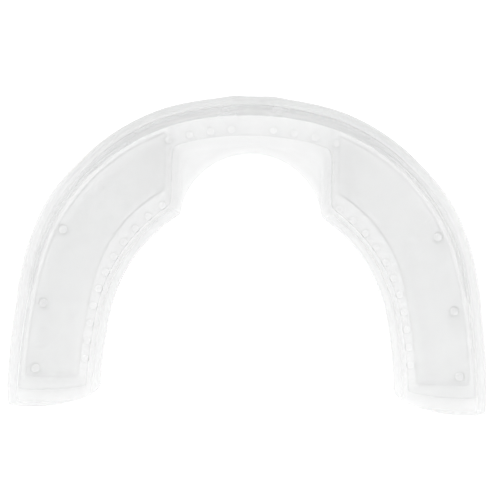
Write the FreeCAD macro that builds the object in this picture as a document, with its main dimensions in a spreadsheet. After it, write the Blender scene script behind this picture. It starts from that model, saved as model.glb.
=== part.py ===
import FreeCAD, Part
import math
import os
import Sketcher

# A boil-and-bite mouthguard, lying on its two molar platforms with the tooth channel open upward.
# +X is the wearer's side-to-side direction, +Y points to the front teeth, +Z is up, in millimetres.
# The origin is the centre of the bounding box at the level the guard rests on.
# Every piece is symmetric about the YZ plane, so each one is drawn as its +X half and mirrored.

DIMENSIONS = (
    # outer outline: three tangent arcs from the front centre to the rear corner
    ("overall_length", 43.2),
    ("overall_width", 66.8),
    ("front_radius", 44.3),
    ("corner_radius", 29.45),
    ("side_radius", 92.0),
    # rear end of each leg
    ("rear_flat_reach", 30.5),
    ("rear_edge_radius", 21.0),
    ("rear_round_radius", 2.6),
    # tongue-side outline of the legs: two tangent arcs
    ("leg_rear_half", 20.5),
    ("leg_side_radius", 75.0),
    ("leg_corner_radius", 21.2),
    ("leg_corner_depth", 12.3),
    # front tongue cut-out and the wall that leans toward it
    ("notch_radius", 10.0),
    ("notch_centre", 4.0),
    ("tab_foot_offset", 4.5),
    ("tab_foot_half", 11.2),
    ("tab_thickness", 1.3),
    # walls of the tray
    ("wall_thickness", 1.1),
    ("flange_thickness", 1.2),
    ("flange_lean", 0.8),
    ("flange_overlap", 0.7),
    ("flange_rear_inset", 4.4),
    ("flange_rise_inset", 9.0),
    ("flange_end_rise", 0.6),
    # levels above the resting plane
    ("front_recess", 1.8),
    ("recess_flat_half", 9.5),
    ("recess_slope_half", 12.0),
    ("pad_base", 1.2),
    ("web_top", 3.4),
    ("frame_top", 4.0),
    ("liner_top", 5.0),
    ("leg_rim", 7.6),
    ("tab_rim", 10.2),
    ("rear_rim", 11.0),
    ("rear_rim_ramp", 3.0),
    ("rear_rim_end", 12.3),
    ("step_rim", 16.3),
    ("canine_rim", 19.6),
    ("front_rim", 18.7),
    # places of the rim's changes of level, along Y or across X
    ("step_rear", -8.5),
    ("step_front", -5.0),
    ("canine_depth", 13.5),
    ("plateau_half", 9.0),
    ("plateau_ramp_half", 12.5),
    # frenum notch in the middle of the front rim
    ("frenum_half_width", 3.2),
    ("frenum_floor_half", 1.4),
    ("frenum_depth", 2.0),
    # layers that lie in the tray
    ("layer_rear_inset", 2.4),
    ("layer_edge_offset", 2.0),
    ("pad_wall_offset", 1.8),
    ("pad_width", 7.9),
    ("pad_front_half", 12.0),
    ("pad_rear_inset", 4.0),
    ("band_rear", -6.0),
    ("band_thickness", 0.7),
    ("band_rim_inset", 1.6),
    # round holes of the frame, and the locating pegs of the tray
    ("hole_radius", 0.5),
    ("hole_edge_offset", 2.7),
    ("front_hole_offset", 3.5),
    ("first_hole_inset", 1.3),
    ("hole_pitch", 2.5),
    ("front_hole_pitch", 2.95),
    ("peg_radius", 0.55),
    # rounding of the tray's bottom edge
    ("bottom_round", 1.8),
)
LEG_HOLES = 11
FRONT_HOLES = 4
PEG_PLACES = ((26.4, 3.4), (28.9, -7.0), (29.8, -16.2))
# Where the front wall's rim is divided into the stretches over its foot's curve and its foot's bar.
TAB_RIM_TURN = math.radians(52)
# How far a cutter runs past what it cuts, and the slack for recognising a level or a radius.
OVERRUN = 1.0
TOLERANCE = 1e-3

doc = FreeCAD.newDocument("mouthguard")
sheet = doc.addObject("Spreadsheet::Sheet", "Dims")
for row, (alias, value) in enumerate(DIMENSIONS, start=1):
    sheet.set("A%d" % row, alias)
    sheet.set("B%d" % row, str(value))
    sheet.setAlias("B%d" % row, alias)
doc.recompute()


def dim(alias):
    """The value of one spreadsheet cell, in millimetres."""
    return float(sheet.get(alias))


def cell(alias):
    """The way an expression names one spreadsheet cell."""
    return "Dims." + alias


def meet(centre_a, radius_a, centre_b, radius_b, pick):
    """Where two circles cross: the one of the two points that pick rates highest."""
    dx, dy = centre_b[0] - centre_a[0], centre_b[1] - centre_a[1]
    gap = math.hypot(dx, dy)
    along = (radius_a ** 2 - radius_b ** 2 + gap ** 2) / (2 * gap)
    aside = math.sqrt(radius_a ** 2 - along ** 2)
    foot = (centre_a[0] + along * dx / gap, centre_a[1] + along * dy / gap)
    points = [(foot[0] - side * aside * dy / gap, foot[1] + side * aside * dx / gap) for side in (1, -1)]
    return max(points, key=pick)


def toward(centre, other, radius):
    """The point at one radius from a centre, in the direction of another point."""
    angle = math.atan2(other[1] - centre[1], other[0] - centre[0])
    return (centre[0] + radius * math.cos(angle), centre[1] + radius * math.sin(angle))


HALF_LENGTH = dim("overall_length") / 2
HALF_WIDTH = dim("overall_width") / 2
FRONT_CENTRE = (0.0, HALF_LENGTH - dim("front_radius"))
SIDE_CENTRE = (HALF_WIDTH - dim("side_radius"), -HALF_LENGTH)
CORNER_CENTRE = meet(
    FRONT_CENTRE, dim("front_radius") - dim("corner_radius"),
    SIDE_CENTRE, dim("side_radius") - dim("corner_radius"), pick=lambda point: point[0])
LEG_SIDE_CENTRE = (dim("leg_rear_half") - dim("leg_side_radius"), -HALF_LENGTH)
LEG_RADIUS_GAP = dim("leg_side_radius") - dim("leg_corner_radius")
OUTER_RADII = (dim("front_radius"), dim("corner_radius"), dim("side_radius"))
LEG_CORNER_CENTRE = (
    LEG_SIDE_CENTRE[0] + math.sqrt(LEG_RADIUS_GAP ** 2 - (HALF_LENGTH - dim("leg_corner_depth")) ** 2),
    -dim("leg_corner_depth"))


class Profile:
    """One closed chain of lines and arcs in a sketch, drawn in order, with its sizes bound to cells."""

    def __init__(self, body, name, plane, level=None):
        self.sketch = body.newObject("Sketcher::SketchObject", name)
        origin = next(item for item in body.Origin.OriginFeatures if item.Role == plane)
        self.sketch.AttachmentSupport = [(origin, "")]
        self.sketch.MapMode = "FlatFace"
        if level:
            self.sketch.setExpression("AttachmentOffset.Base.z", level)
        self.chain = []
        self.bound = 0

    def point(self, x, y):
        return FreeCAD.Vector(x, y, 0)

    def line(self, start, end):
        index = self.sketch.addGeometry(Part.LineSegment(self.point(*start), self.point(*end)), False)
        self.chain.append((index, 1, 2))
        return index

    def arc(self, centre, start, end, clockwise=True):
        """An arc about a centre from start to end; its radius is the start's distance."""
        radius = math.hypot(start[0] - centre[0], start[1] - centre[1])
        first, last = (end, start) if clockwise else (start, end)
        low = math.atan2(first[1] - centre[1], first[0] - centre[0])
        high = math.atan2(last[1] - centre[1], last[0] - centre[0])
        circle = Part.Circle(self.point(*centre), FreeCAD.Vector(0, 0, 1), radius)
        index = self.sketch.addGeometry(Part.ArcOfCircle(circle, low, high), False)
        self.chain.append((index, 2, 1) if clockwise else (index, 1, 2))
        return index

    def bind(self, kind, *where, value, expression):
        """Adds one driving dimension to the sketch and binds it to the spreadsheet."""
        self.bound += 1
        name = "size%d" % self.bound
        index = self.sketch.addConstraint(Sketcher.Constraint(kind, *where, value))
        self.sketch.renameConstraint(index, name)
        self.sketch.setExpression("Constraints." + name, expression)

    def radius(self, arc, value, expression):
        self.bind("Radius", arc, value=value, expression=expression)

    def centre(self, arc, at, expressions):
        """Fixes an arc's centre; a coordinate with no expression lies on its axis."""
        for axis, coordinate, expression in zip("XY", at, expressions):
            if expression is None:
                other_axis = -2 if axis == "X" else -1
                self.sketch.addConstraint(Sketcher.Constraint("PointOnObject", arc, 3, other_axis))
            else:
                self.bind("Distance" + axis, -1, 1, arc, 3, value=coordinate, expression=expression)

    def along(self, axis, line, value, expression):
        """Makes a line square to an axis and fixes its place on it."""
        self.sketch.addConstraint(Sketcher.Constraint("Vertical" if axis == "X" else "Horizontal", line))
        self.bind("Distance" + axis, -1, 1, line, 1, value=value, expression=expression)

    def close(self, smooth=()):
        """Joins each piece's end to the next one's start; pairs in smooth also share a tangent."""
        pairs = zip(self.chain, self.chain[1:] + self.chain[:1])
        for (index, _, end), (following, start, _) in pairs:
            kind = "Tangent" if (index, following) in smooth else "Coincident"
            self.sketch.addConstraint(Sketcher.Constraint(kind, index, end, following, start))
        return self.sketch


def rise(high, low):
    """The expression for the difference of two cells."""
    return "%s - %s" % (cell(high), cell(low))


def less(alias, offset):
    """The expression for a cell less an offset, and its value."""
    return "%s - (%s)" % (cell(alias), offset[1]), dim(alias) - offset[0]


def plus(alias, offset):
    """The expression for a cell plus an offset, and its value."""
    return "%s + (%s)" % (cell(alias), offset[1]), dim(alias) + offset[0]


def sized(*aliases):
    """An offset that is the sum of cells: its value and its expression."""
    return sum(dim(alias) for alias in aliases), " + ".join(cell(alias) for alias in aliases)


NOTHING = (0.0, "0")


def outer_joints(offset):
    """The points where the outer outline's arcs meet, moved inward by an offset."""
    front = (0.0, HALF_LENGTH - offset)
    blend = toward(FRONT_CENTRE, CORNER_CENTRE, dim("front_radius") - offset)
    turn = toward(SIDE_CENTRE, CORNER_CENTRE, dim("side_radius") - offset)
    return front, blend, turn


def bind_arc(profile, arc, size, centre=None, expressions=(None, None)):
    profile.radius(arc, size[1], size[0])
    if centre:
        profile.centre(arc, centre, expressions)


def outer_arcs(profile, offset, end, reverse=False):
    """Draws the outer outline, moved inward, between the front centre and a point at the rear."""
    front, blend, turn = outer_joints(offset[0])
    stops = [front, blend, turn, end]
    centres = [FRONT_CENTRE, CORNER_CENTRE, SIDE_CENTRE]
    arcs = []
    order = range(3) if not reverse else range(2, -1, -1)
    for step in order:
        ends = (stops[step], stops[step + 1]) if not reverse else (stops[step + 1], stops[step])
        arcs.append(profile.arc(centres[step], *ends, clockwise=not reverse))
    first, middle, last = arcs if not reverse else arcs[::-1]
    bind_arc(profile, first, less("front_radius", offset), FRONT_CENTRE,
             (None, "%s / 2 - %s" % (cell("overall_length"), cell("front_radius"))))
    bind_arc(profile, middle, less("corner_radius", offset))
    bind_arc(profile, last, less("side_radius", offset), SIDE_CENTRE,
             ("%s / 2 - %s" % (cell("overall_width"), cell("side_radius")), "-%s / 2" % cell("overall_length")))
    profile.sketch.addConstraint(Sketcher.Constraint("PointOnObject", first, 2, -2))
    return [(arcs[0], arcs[1]), (arcs[1], arcs[2])]


def leg_arcs(profile, offset, start, end, reverse=False):
    """Draws the tongue-side outline of a leg, moved outward, from the rear to the front corner."""
    turn = toward(LEG_SIDE_CENTRE, LEG_CORNER_CENTRE, dim("leg_side_radius") + offset[0])
    pieces = [(LEG_SIDE_CENTRE, start, turn), (LEG_CORNER_CENTRE, turn, end)]
    if reverse:
        pieces = [(centre, last, first) for centre, first, last in pieces[::-1]]
    arcs = [profile.arc(*piece, clockwise=reverse) for piece in pieces]
    side, corner = arcs if not reverse else arcs[::-1]
    bind_arc(profile, side, plus("leg_side_radius", offset), LEG_SIDE_CENTRE,
             ("%s - %s" % (cell("leg_rear_half"), cell("leg_side_radius")), "-%s / 2" % cell("overall_length")))
    bind_arc(profile, corner, plus("leg_corner_radius", offset))
    profile.bind("DistanceY", -1, 1, corner, 3, value=LEG_CORNER_CENTRE[1],
                 expression="-" + cell("leg_corner_depth"))
    return [tuple(arcs)]


def on_circle(centre, radius, x=None, y=None):
    """A circle's upper point at an x, or its right-hand point at a y."""
    if y is None:
        return (x, centre[1] + math.sqrt(radius ** 2 - (x - centre[0]) ** 2))
    return (centre[0] + math.sqrt(radius ** 2 - (y - centre[1]) ** 2), y)


def rear_end(profile, outer_offset, leg_offset, inset):
    """Draws the rear end of a leg: a straight edge, a long arc and a round to the tongue side."""
    edge_centre = (dim("rear_flat_reach"), -HALF_LENGTH + dim("rear_edge_radius"))
    edge_radius = dim("rear_edge_radius") - inset[0]
    round_radius = dim("rear_round_radius")
    round_centre = meet(
        edge_centre, edge_radius - round_radius,
        LEG_SIDE_CENTRE, dim("leg_side_radius") + leg_offset[0] + round_radius, pick=lambda point: -point[1])
    level = -HALF_LENGTH + inset[0]
    outer = on_circle(SIDE_CENTRE, dim("side_radius") - outer_offset[0], y=level)
    flat = (edge_centre[0], level)
    bend = toward(round_centre, edge_centre, -round_radius)
    leave = toward(LEG_SIDE_CENTRE, round_centre, dim("leg_side_radius") + leg_offset[0])

    def draw():
        straight = profile.line(outer, flat)
        edge = profile.arc(edge_centre, flat, bend)
        corner = profile.arc(round_centre, bend, leave)
        profile.along("Y", straight, level, "-%s / 2 + (%s)" % (cell("overall_length"), inset[1]))
        profile.radius(edge, edge_radius, "%s - (%s)" % (cell("rear_edge_radius"), inset[1]))
        profile.bind("DistanceX", -1, 1, edge, 3, value=edge_centre[0], expression=cell("rear_flat_reach"))
        profile.radius(corner, round_radius, cell("rear_round_radius"))
        return straight, edge, corner

    return outer, leave, draw


def pad_of(body, name, sketch, length):
    pad = body.newObject("PartDesign::Pad", name)
    pad.Profile = sketch
    pad.setExpression("Length", length)
    sketch.Visibility = False
    return pad


def pocket_of(body, name, sketch):
    """Cuts a sketch right through the piece, both ways."""
    pocket = body.newObject("PartDesign::Pocket", name)
    pocket.Profile = sketch
    pocket.SideType = "Symmetric"
    pocket.setExpression("Length", "4 * " + cell("overall_width"))
    return pocket


def new_half(name):
    body = doc.addObject("PartDesign::Body", name + "_half")
    body.Label = name + "_half"
    return body


def mirrored(name, half):
    """The half piece and its mirror image across the YZ plane, as one solid."""
    mirror = doc.addObject("Part::Mirroring", name + "_mirror")
    mirror.Source = half
    mirror.Base = FreeCAD.Vector(0, 0, 0)
    mirror.Normal = FreeCAD.Vector(1, 0, 0)
    whole = doc.addObject("Part::Fuse", name)
    whole.Base = half
    whole.Tool = mirror
    whole.Refine = True
    whole.Label = name
    return whole


def inner_ledge(profile, start, leg_offset, bar, front_offset, finish):
    """Draws a layer's tongue side: up the leg, along the bar, round the front and out along the axis."""
    leg_end = on_circle(LEG_CORNER_CENTRE, dim("leg_corner_radius") + leg_offset[0], x=bar[0])
    front_radius = dim("front_radius") - front_offset[0]
    front_start = on_circle(FRONT_CENTRE, front_radius, x=bar[0])
    smooth = leg_arcs(profile, leg_offset, start, leg_end)
    side = profile.line(leg_end, front_start)
    profile.along("X", side, bar[0], bar[1])
    front = profile.arc(FRONT_CENTRE, front_start, (0.0, FRONT_CENTRE[1] + front_radius), clockwise=False)
    bind_arc(profile, front, less("front_radius", front_offset), FRONT_CENTRE,
             (None, "%s / 2 - %s" % (cell("overall_length"), cell("front_radius"))))
    axis = profile.line((0.0, FRONT_CENTRE[1] + front_radius), finish)
    profile.sketch.addConstraint(Sketcher.Constraint("Vertical", axis))
    return smooth


def layer_profile(body, name, level, outer_offset, leg_offset, bar, front_offset, inset):
    """The half outline of one layer of the arch, from the labial wall to the tongue side."""
    profile = Profile(body, name, "XY_Plane", level)
    outer, leave, draw_rear = rear_end(profile, outer_offset, leg_offset, inset)
    smooth = outer_arcs(profile, outer_offset, outer)
    straight, edge, corner = draw_rear()
    smooth += [(straight, edge), (edge, corner), (corner, corner + 1)]
    smooth += inner_ledge(profile, leave, leg_offset, bar, front_offset, (0.0, HALF_LENGTH - outer_offset[0]))
    return profile.close(smooth)


def strip_profile(body, name, level, offset_out, offset_in, rear):
    """The half outline of a thin wall that follows the outer outline back to a cross line."""
    profile = Profile(body, name, "XY_Plane", level)
    far = on_circle(SIDE_CENTRE, dim("side_radius") - offset_out[0], y=rear[0])
    near = on_circle(SIDE_CENTRE, dim("side_radius") - offset_in[0], y=rear[0])
    smooth = outer_arcs(profile, offset_out, far)
    end = profile.line(far, near)
    profile.along("Y", end, rear[0], rear[1])
    smooth += outer_arcs(profile, offset_in, near, reverse=True)
    axis = profile.line((0.0, HALF_LENGTH - offset_in[0]), (0.0, HALF_LENGTH - offset_out[0]))
    return profile.close(smooth)


def polygon_profile(body, name, plane, points):
    """A cutter's outline of straight lines; each corner is two pairs of a value and an expression."""
    profile = Profile(body, name, plane)
    for start, end in zip(points, points[1:] + points[:1]):
        profile.line((start[0][0], start[1][0]), (end[0][0], end[1][0]))
    profile.close()
    for index, (across, up) in enumerate(points):
        profile.bind("DistanceX", -1, 1, index, 1, value=across[0], expression=across[1])
        profile.bind("DistanceY", -1, 1, index, 1, value=up[0], expression=up[1])
    return profile.sketch


def at(*terms):
    """A coordinate as a sum of cells and plain millimetres: its value and its expression."""
    value = sum(dim(term) if isinstance(term, str) else term for term in terms)
    return value, " + ".join(cell(term) if isinstance(term, str) else "%s" % term for term in terms)


REAR = (-HALF_LENGTH, "-%s / 2" % cell("overall_length"))


def from_rear(*terms):
    """A place along Y, measured forward from the rear line."""
    value, expression = at(*terms)
    return REAR[0] + value, "%s + %s" % (REAR[1], expression)


def trim_rim(body, drop):
    """Cuts a labial wall to the rim line: low at the molars, high at the canines, notched in front."""
    clear = at("canine_rim", OVERRUN)

    def level(*terms):
        value, expression = at(*terms)
        return value - drop[0], "%s - (%s)" % (expression, drop[1])

    side = [
        (from_rear(-OVERRUN), clear), (from_rear(-OVERRUN), level("rear_rim", -dim("rear_rim_ramp"))),
        (from_rear("rear_rim_ramp"), level("rear_rim")),
        (at("step_rear"), level("rear_rim_end")), (at("step_front"), level("step_rim")),
        (at("canine_depth"), level("canine_rim")), (at("overall_length"), level("canine_rim")),
        (at("overall_length"), clear),
    ]
    pocket_of(body, body.Name + "_rim_cut", polygon_profile(body, body.Name + "_rim_line", "YZ_Plane", side))
    notch_floor = level("front_rim")
    notch_floor = (notch_floor[0] - dim("frenum_depth"), "%s - %s" % (notch_floor[1], cell("frenum_depth")))
    front = [
        (at(-OVERRUN), clear), (at("plateau_ramp_half"), clear), (at("plateau_ramp_half"), level("canine_rim")),
        (at("plateau_half"), level("front_rim")), (at("frenum_half_width"), level("front_rim")),
        (at("frenum_floor_half"), notch_floor), (at(-OVERRUN), notch_floor),
    ]
    front_line = polygon_profile(body, body.Name + "_front_line", "XZ_Plane", front)
    pocket_of(body, body.Name + "_front_cut", front_line)


def hole_places():
    """Centres of the frame's round holes on one half: along the leg, then across the front."""
    radius = dim("leg_corner_radius") + dim("hole_edge_offset")
    side_radius = dim("leg_side_radius") + dim("hole_edge_offset")
    start = math.acos((dim("tab_foot_half") + dim("first_hole_inset") - LEG_CORNER_CENTRE[0]) / radius)
    turn = math.asin((LEG_CORNER_CENTRE[1] - LEG_SIDE_CENTRE[1]) / LEG_RADIUS_GAP)
    corner_length = (start - turn) * radius
    places = []
    for count in range(LEG_HOLES):
        run = count * dim("hole_pitch")
        if run < corner_length:
            centre, reach, angle = LEG_CORNER_CENTRE, radius, start - run / radius
        else:
            centre, reach, angle = LEG_SIDE_CENTRE, side_radius, turn - (run - corner_length) / side_radius
        places.append((centre[0] + reach * math.cos(angle), centre[1] + reach * math.sin(angle)))
    front_radius = dim("front_radius") - dim("front_hole_offset")
    for count in range(1, FRONT_HOLES + 1):
        places.append(on_circle(FRONT_CENTRE, front_radius, x=count * dim("front_hole_pitch")))
    return places


def circles_profile(body, name, level, places, radius):
    """Equal circles at given places."""
    profile = Profile(body, name, "XY_Plane", level)
    sketch = profile.sketch
    for index, (x, y) in enumerate(places):
        sketch.addGeometry(Part.Circle(profile.point(x, y), FreeCAD.Vector(0, 0, 1), dim(radius)), False)
        if index:
            sketch.addConstraint(Sketcher.Constraint("Equal", 0, index))
    profile.bind("Radius", 0, value=dim(radius), expression=cell(radius))
    return sketch


def flange_profile(body, name, level, inner, outer):
    """A leg's tongue-side wall at one level, from its rear end to the front bar."""
    profile = Profile(body, name, "XY_Plane", level)
    rear = from_rear("flange_rear_inset")
    bar = (dim("tab_foot_half") - dim("flange_overlap"), rise("tab_foot_half", "flange_overlap"))
    near_rear = on_circle(LEG_SIDE_CENTRE, dim("leg_side_radius") + inner[0], y=rear[0])
    far_rear = on_circle(LEG_SIDE_CENTRE, dim("leg_side_radius") + outer[0], y=rear[0])
    near_front = on_circle(LEG_CORNER_CENTRE, dim("leg_corner_radius") + inner[0], x=bar[0])
    far_front = on_circle(LEG_CORNER_CENTRE, dim("leg_corner_radius") + outer[0], x=bar[0])
    smooth = leg_arcs(profile, outer, far_rear, far_front)
    front = profile.line(far_front, near_front)
    profile.along("X", front, bar[0], bar[1])
    smooth += leg_arcs(profile, inner, near_rear, near_front, reverse=True)
    back = profile.line(near_rear, far_rear)
    profile.along("Y", back, rear[0], rear[1])
    return profile.close(smooth)


def tab_foot_profile(body, name):
    """The front tongue-side wall where it leaves the web: round the front and back along the bars."""
    profile = Profile(body, name, "XY_Plane", cell("web_top"))
    outer, inner = sized("tab_foot_offset"), sized("tab_foot_offset", "tab_thickness")
    bar_out = at("tab_foot_half")
    bar_in = (dim("tab_foot_half") - dim("tab_thickness"), rise("tab_foot_half", "tab_thickness"))
    out_radius, in_radius = (dim("front_radius") - offset[0] for offset in (outer, inner))
    out_turn = on_circle(FRONT_CENTRE, out_radius, x=bar_out[0])
    in_turn = on_circle(FRONT_CENTRE, in_radius, x=bar_in[0])
    out_end = on_circle(LEG_CORNER_CENTRE, dim("leg_corner_radius") + dim("layer_edge_offset"), x=bar_out[0])
    in_end = on_circle(LEG_CORNER_CENTRE, dim("leg_corner_radius") + dim("flange_lean"), x=bar_in[0])
    centre = (None, "%s / 2 - %s" % (cell("overall_length"), cell("front_radius")))
    front = profile.arc(FRONT_CENTRE, (0.0, FRONT_CENTRE[1] + out_radius), out_turn)
    bind_arc(profile, front, less("front_radius", outer), FRONT_CENTRE, centre)
    profile.sketch.addConstraint(Sketcher.Constraint("PointOnObject", front, 2, -2))
    side = profile.line(out_turn, out_end)
    profile.along("X", side, bar_out[0], bar_out[1])
    profile.line(out_end, in_end)
    profile.along("X", profile.line(in_end, in_turn), bar_in[0], bar_in[1])
    back = profile.arc(FRONT_CENTRE, in_turn, (0.0, FRONT_CENTRE[1] + in_radius), clockwise=False)
    bind_arc(profile, back, less("front_radius", inner), FRONT_CENTRE, centre)
    axis = profile.line((0.0, FRONT_CENTRE[1] + in_radius), (0.0, FRONT_CENTRE[1] + out_radius))
    profile.sketch.addConstraint(Sketcher.Constraint("Vertical", axis))
    return profile.close()


def tab_rim_profile(body, name):
    """The same wall at its rim: the round tongue cut-out, each side in two arcs to match the foot."""
    profile = Profile(body, name, "XY_Plane", cell("tab_rim"))
    centre = (0.0, dim("notch_centre"))
    thin = dim("notch_radius")
    thick = thin + dim("flange_thickness")
    leg_corner = meet(LEG_CORNER_CENTRE, dim("leg_corner_radius"), centre, thin, pick=sum)
    low = math.atan2(leg_corner[1] - centre[1], leg_corner[0] - centre[0])

    def spot(radius, angle):
        return (centre[0] + radius * math.cos(angle), centre[1] + radius * math.sin(angle))

    top = math.pi / 2
    first = profile.arc(centre, spot(thick, top), spot(thick, TAB_RIM_TURN))
    second = profile.arc(centre, spot(thick, TAB_RIM_TURN), spot(thick, low))
    profile.line(spot(thick, low), spot(thin, low))
    third = profile.arc(centre, spot(thin, low), spot(thin, TAB_RIM_TURN), clockwise=False)
    fourth = profile.arc(centre, spot(thin, TAB_RIM_TURN), spot(thin, top), clockwise=False)
    axis = profile.line(spot(thin, top), spot(thick, top))
    profile.sketch.addConstraint(Sketcher.Constraint("Vertical", axis))
    profile.sketch.addConstraint(Sketcher.Constraint("PointOnObject", first, 2, -2))
    bind_arc(profile, first, (cell("notch_radius") + " + " + cell("flange_thickness"), thick), centre,
             (None, cell("notch_centre")))
    bind_arc(profile, fourth, (cell("notch_radius"), thin), centre, (None, cell("notch_centre")))
    for one, other in ((first, second), (fourth, third)):
        profile.sketch.addConstraint(Sketcher.Constraint("Coincident", one, 3, other, 3))
    return profile.close()


def loft_of(body, name, low, high):
    loft = body.newObject("PartDesign::AdditiveLoft", name)
    loft.Profile = low
    loft.Sections = [high]
    loft.Ruled = True
    return loft


def pad_profile(body, name, level):
    """A molar pad's outline: an even band beside the wall, cut square in front and at the rear."""
    profile = Profile(body, name, "XY_Plane", level)
    outer, inner = sized("pad_wall_offset"), sized("pad_wall_offset", "pad_width")
    front, rear = at("pad_front_half"), from_rear("pad_rear_inset")
    far, near = (dim("corner_radius") - offset[0] for offset in (outer, inner))
    far_side, near_side = (dim("side_radius") - offset[0] for offset in (outer, inner))
    far_front, near_front = (on_circle(CORNER_CENTRE, radius, x=front[0]) for radius in (far, near))
    far_rear, near_rear = (on_circle(SIDE_CENTRE, radius, y=rear[0]) for radius in (far_side, near_side))
    turns = [toward(SIDE_CENTRE, CORNER_CENTRE, radius) for radius in (far_side, near_side)]
    arcs = [
        profile.arc(CORNER_CENTRE, far_front, turns[0]), profile.arc(SIDE_CENTRE, turns[0], far_rear),
    ]
    profile.along("Y", profile.line(far_rear, near_rear), rear[0], rear[1])
    arcs += [
        profile.arc(SIDE_CENTRE, near_rear, turns[1], clockwise=False),
        profile.arc(CORNER_CENTRE, turns[1], near_front, clockwise=False),
    ]
    profile.along("X", profile.line(near_front, far_front), front[0], front[1])
    side_place = ("%s / 2 - %s" % (cell("overall_width"), cell("side_radius")), REAR[1])
    corner_y = str(CORNER_CENTRE[1])
    for arc, offset in ((arcs[0], outer), (arcs[3], inner)):
        bind_arc(profile, arc, less("corner_radius", offset))
        profile.bind("DistanceY", -1, 1, arc, 3, value=CORNER_CENTRE[1], expression=corner_y)
    for arc, offset in ((arcs[1], outer), (arcs[2], inner)):
        bind_arc(profile, arc, less("side_radius", offset), SIDE_CENTRE, side_place)
    return profile.close([(arcs[0], arcs[1]), (arcs[2], arcs[3])])


def make_outer_tray():
    """The moulded body: web, labial wall, tongue-side walls, recesses for the pads, locating pegs."""
    body = new_half("outer_tray")
    bar = (dim("tab_foot_half") - dim("tab_thickness"), rise("tab_foot_half", "tab_thickness"))
    web = layer_profile(body, "web_outline", None, NOTHING, sized("flange_lean"), bar,
                        sized("tab_foot_offset", "tab_thickness"), NOTHING)
    pad_of(body, "web", web, cell("web_top"))
    loft_of(body, "tongue_tab", tab_foot_profile(body, "tab_foot"), tab_rim_profile(body, "tab_rim_line"))
    foot = flange_profile(body, "flange_foot", cell("web_top"), sized("flange_lean"), sized("layer_edge_offset"))
    rim = flange_profile(body, "flange_rim", cell("leg_rim"), NOTHING, sized("flange_thickness"))
    loft_of(body, "leg_flange", foot, rim)
    end_level = at("web_top", "flange_end_rise")
    slope = [(from_rear(0.0), end_level), (from_rear("flange_rear_inset"), end_level),
             (from_rear("flange_rise_inset"), at("leg_rim")), (from_rear("flange_rise_inset"), at("canine_rim")),
             (from_rear(0.0), at("canine_rim"))]
    pocket_of(body, "flange_end", polygon_profile(body, "flange_slope", "YZ_Plane", slope))
    wall = strip_profile(body, "wall_outline", None, NOTHING, sized("wall_thickness"), REAR)
    pad_of(body, "labial_wall", wall, cell("canine_rim"))
    round_bottom(body)
    trim_rim(body, NOTHING)
    recess = [(at(-OVERRUN), at(-OVERRUN)), (at("recess_slope_half"), at(-OVERRUN)),
              (at("recess_slope_half"), at(0.0)), (at("recess_flat_half"), at("front_recess")),
              (at(-OVERRUN), at("front_recess"))]
    pocket_of(body, "front_recess_cut", polygon_profile(body, "recess_line", "XZ_Plane", recess))
    cavity = body.newObject("PartDesign::Pocket", "pad_cavity")
    cavity.Profile = pad_profile(body, "cavity_outline", cell("web_top"))
    cavity.setExpression("Length", rise("web_top", "pad_base"))
    pegs = circles_profile(body, "peg_circles", cell("pad_base"), PEG_PLACES, "peg_radius")
    pad_of(body, "pegs", pegs, rise("frame_top", "pad_base"))
    return mirrored("outer_tray", body)


def round_bottom(body):
    """Rounds the tray's lower outer edge, all along the outer outline."""
    doc.recompute()
    wall = body.Tip
    names = []
    for number, edge in enumerate(wall.Shape.Edges, start=1):
        middle = edge.valueAt((edge.FirstParameter + edge.LastParameter) / 2)
        if abs(middle.z) > TOLERANCE or not isinstance(edge.Curve, Part.Circle):
            continue
        if min(abs(edge.Curve.Radius - radius) for radius in OUTER_RADII) < TOLERANCE:
            names.append("Edge%d" % number)
    fillet = body.newObject("PartDesign::Fillet", "bottom_rounding")
    fillet.Base = (wall, names)
    fillet.setExpression("Radius", cell("bottom_round"))


def make_shock_frame():
    """The stiffer perforated frame: a flat U with a row of round holes along its tongue side."""
    body = new_half("shock_frame")
    outline = layer_profile(body, "frame_outline", cell("web_top"), sized("wall_thickness"),
                            sized("layer_edge_offset"), at("tab_foot_half"), sized("tab_foot_offset"),
                            sized("layer_rear_inset"))
    pad_of(body, "frame_plate", outline, rise("frame_top", "web_top"))
    holes = circles_profile(body, "frame_hole_circles", cell("frame_top"), hole_places(), "hole_radius")
    pocket_of(body, "frame_holes", holes)
    pegs = circles_profile(body, "frame_peg_circles", cell("frame_top"), PEG_PLACES, "peg_radius")
    pocket_of(body, "frame_peg_holes", pegs)
    return mirrored("shock_frame", body)


def make_fit_liner():
    """The soft fitting layer, with a button moulded through each hole of the frame."""
    body = new_half("fit_liner")
    outline = layer_profile(body, "liner_outline", cell("frame_top"), sized("wall_thickness"),
                            sized("layer_edge_offset"), at("tab_foot_half"), sized("tab_foot_offset"),
                            sized("layer_rear_inset"))
    pad_of(body, "liner_sheet", outline, rise("liner_top", "frame_top"))
    buttons = circles_profile(body, "button_circles", cell("web_top"), hole_places(), "hole_radius")
    pad_of(body, "buttons", buttons, rise("liner_top", "web_top"))
    return mirrored("fit_liner", body)


def make_labial_band():
    """The cushion strip inside the labial wall, from premolar to premolar."""
    body = new_half("labial_shock_band")
    outline = strip_profile(body, "band_outline", cell("liner_top"), sized("wall_thickness"),
                            sized("wall_thickness", "band_thickness"), at("band_rear"))
    pad_of(body, "band_sheet", outline, rise("canine_rim", "liner_top"))
    trim_rim(body, sized("band_rim_inset"))
    return mirrored("labial_shock_band", body)


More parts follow.
